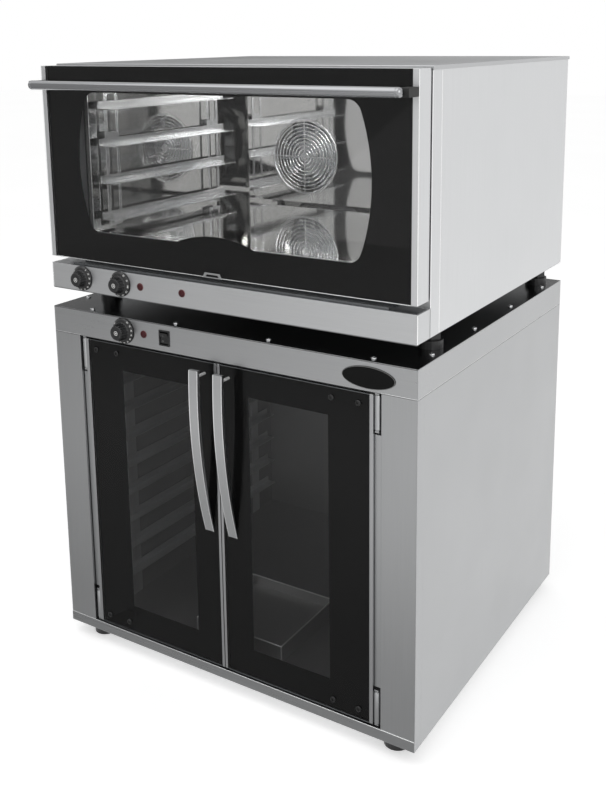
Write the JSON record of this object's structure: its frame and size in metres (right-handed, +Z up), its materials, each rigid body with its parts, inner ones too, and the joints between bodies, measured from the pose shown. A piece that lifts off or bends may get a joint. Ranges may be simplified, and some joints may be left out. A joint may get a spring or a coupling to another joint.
{
  "type": "convection oven on proving cabinet",
  "caption": "Stainless twin-fan convection oven with a drop-down glass door, standing on a matching glass-door proving cabinet with tray runners.",
  "frame": {"origin": "middle of the overall box, on the ground under the feet", "axes": "+X to the right as seen from the front, +Y from the front to the back, +Z up"},
  "size_m": [0.835, 0.788, 1.2375],
  "materials": {
    "stainless": "satin brushed stainless sheet",
    "stainless_dark": "satin stainless sheet in shade",
    "liner_steel": "bright plain stainless sheet",
    "aluminium": "satin anodised",
    "bar_chrome": "polished bar",
    "clear_glass": "tinted clear glass",
    "black_print": "black print behind glass",
    "black_plastic": "moulded black plastic",
    "lamp_red": "dark red lens",
    "rubber": "black seal rubber",
    "wool": "mineral wool blanket",
    "cast_wheel": "bent aluminium sheet",
    "heater_steel": "oxidised element sheath",
    "motor_steel": "laminations and coil",
    "body_plastic": "control body plastic"
  },
  "bodies": {
    "stack": {"cabinet_base": "stainless", "cabinet_feet": "black_plastic", "cabinet_side_panels": "stainless", "cabinet_back": "stainless", "cabinet_front_posts": "stainless", "cabinet_fascia": "stainless", "cabinet_top": "stainless", "cabinet_liner": "liner_steel", "cabinet_tray_runners": "liner_steel", "water_pan": "liner_steel", "pan_heater": "heater_steel", "cabinet_seal": "rubber", "door_magnets": "black_plastic", "cabinet_hinge_brackets": "stainless", "thermostat_bodies": "body_plastic", "oven_timer_body": "body_plastic", "indicator_lamps": "lamp_red", "switch_body": "black_plastic", "cable_glands": "black_plastic", "oven_base": "stainless", "oven_feet": "black_plastic", "oven_side_panels": "stainless", "oven_back": "stainless", "oven_top": "stainless", "oven_front_frame": "stainless", "control_panel": "stainless", "drip_gutter": "stainless_dark", "oven_cavity": "liner_steel", "oven_insulation": "wool", "cavity_seal": "rubber", "tray_racks": "liner_steel", "fan_baffle": "liner_steel", "heater_rings": "heater_steel", "fan_motors": "motor_steel", "oven_door_ears": "stainless"},
    "oven_door": {"oven_door_frame": "stainless", "oven_door_outer_glass": "clear_glass", "oven_door_border": "black_print", "oven_door_inner_glass": "clear_glass", "oven_door_handle": "bar_chrome", "oven_door_handle_blocks": "black_plastic", "oven_door_clip": "stainless"},
    "right_door": {"right_door_frame": "aluminium", "right_door_glass": "clear_glass", "right_door_border": "black_print", "right_door_hinges": "stainless", "right_door_handle": "stainless"},
    "left_door": {"left_door_frame": "aluminium", "left_door_glass": "clear_glass", "left_door_border": "black_print", "left_door_hinges": "stainless", "left_door_handle": "stainless"},
    "fan_left": {"fan_left": "cast_wheel"},
    "fan_right": {"fan_right": "cast_wheel"},
    "timer_knob": {"timer_knob": "black_plastic"},
    "oven_thermostat_knob": {"oven_thermostat_knob": "black_plastic"},
    "cabinet_thermostat_knob": {"cabinet_thermostat_knob": "black_plastic"},
    "switch_rocker": {"switch_rocker": "black_plastic"}
  },
  "joints": [
    {"name": "oven_door_hinge", "type": "hinge", "parent": "stack", "child": "oven_door", "pos_m": [0, -0.331, 0.865], "axis": [1, 0, 0], "range_deg": [0, 90]},
    {"name": "right_door_hinge", "type": "hinge", "parent": "stack", "child": "right_door", "pos_m": [0.339, -0.338, 0.37], "axis": [0, 0, 1], "range_deg": [0, 110]},
    {"name": "left_door_hinge", "type": "hinge", "parent": "stack", "child": "left_door", "pos_m": [-0.339, -0.338, 0.37], "axis": [0, 0, -1], "range_deg": [0, 110]},
    {"name": "fan_left_spin", "type": "hinge", "parent": "stack", "child": "fan_left", "pos_m": [-0.132, 0.243, 1.013], "axis": [0, 1, 0], "continuous": true},
    {"name": "fan_right_spin", "type": "hinge", "parent": "stack", "child": "fan_right", "pos_m": [0.132, 0.243, 1.013], "axis": [0, 1, 0], "continuous": true},
    {"name": "timer_turn", "type": "hinge", "parent": "stack", "child": "timer_knob", "pos_m": [-0.332, -0.345, 0.812], "axis": [0, 1, 0], "range_deg": [0, 300]},
    {"name": "oven_thermostat_turn", "type": "hinge", "parent": "stack", "child": "oven_thermostat_knob", "pos_m": [-0.231, -0.345, 0.812], "axis": [0, 1, 0], "range_deg": [0, 270]},
    {"name": "cabinet_thermostat_turn", "type": "hinge", "parent": "stack", "child": "cabinet_thermostat_knob", "pos_m": [-0.228, -0.345, 0.717], "axis": [0, 1, 0], "range_deg": [0, 270]},
    {"name": "switch_tilt", "type": "hinge", "parent": "stack", "child": "switch_rocker", "pos_m": [-0.124, -0.341, 0.717], "axis": [-1, 0, 0], "range_deg": [0, 16]}
  ]
}
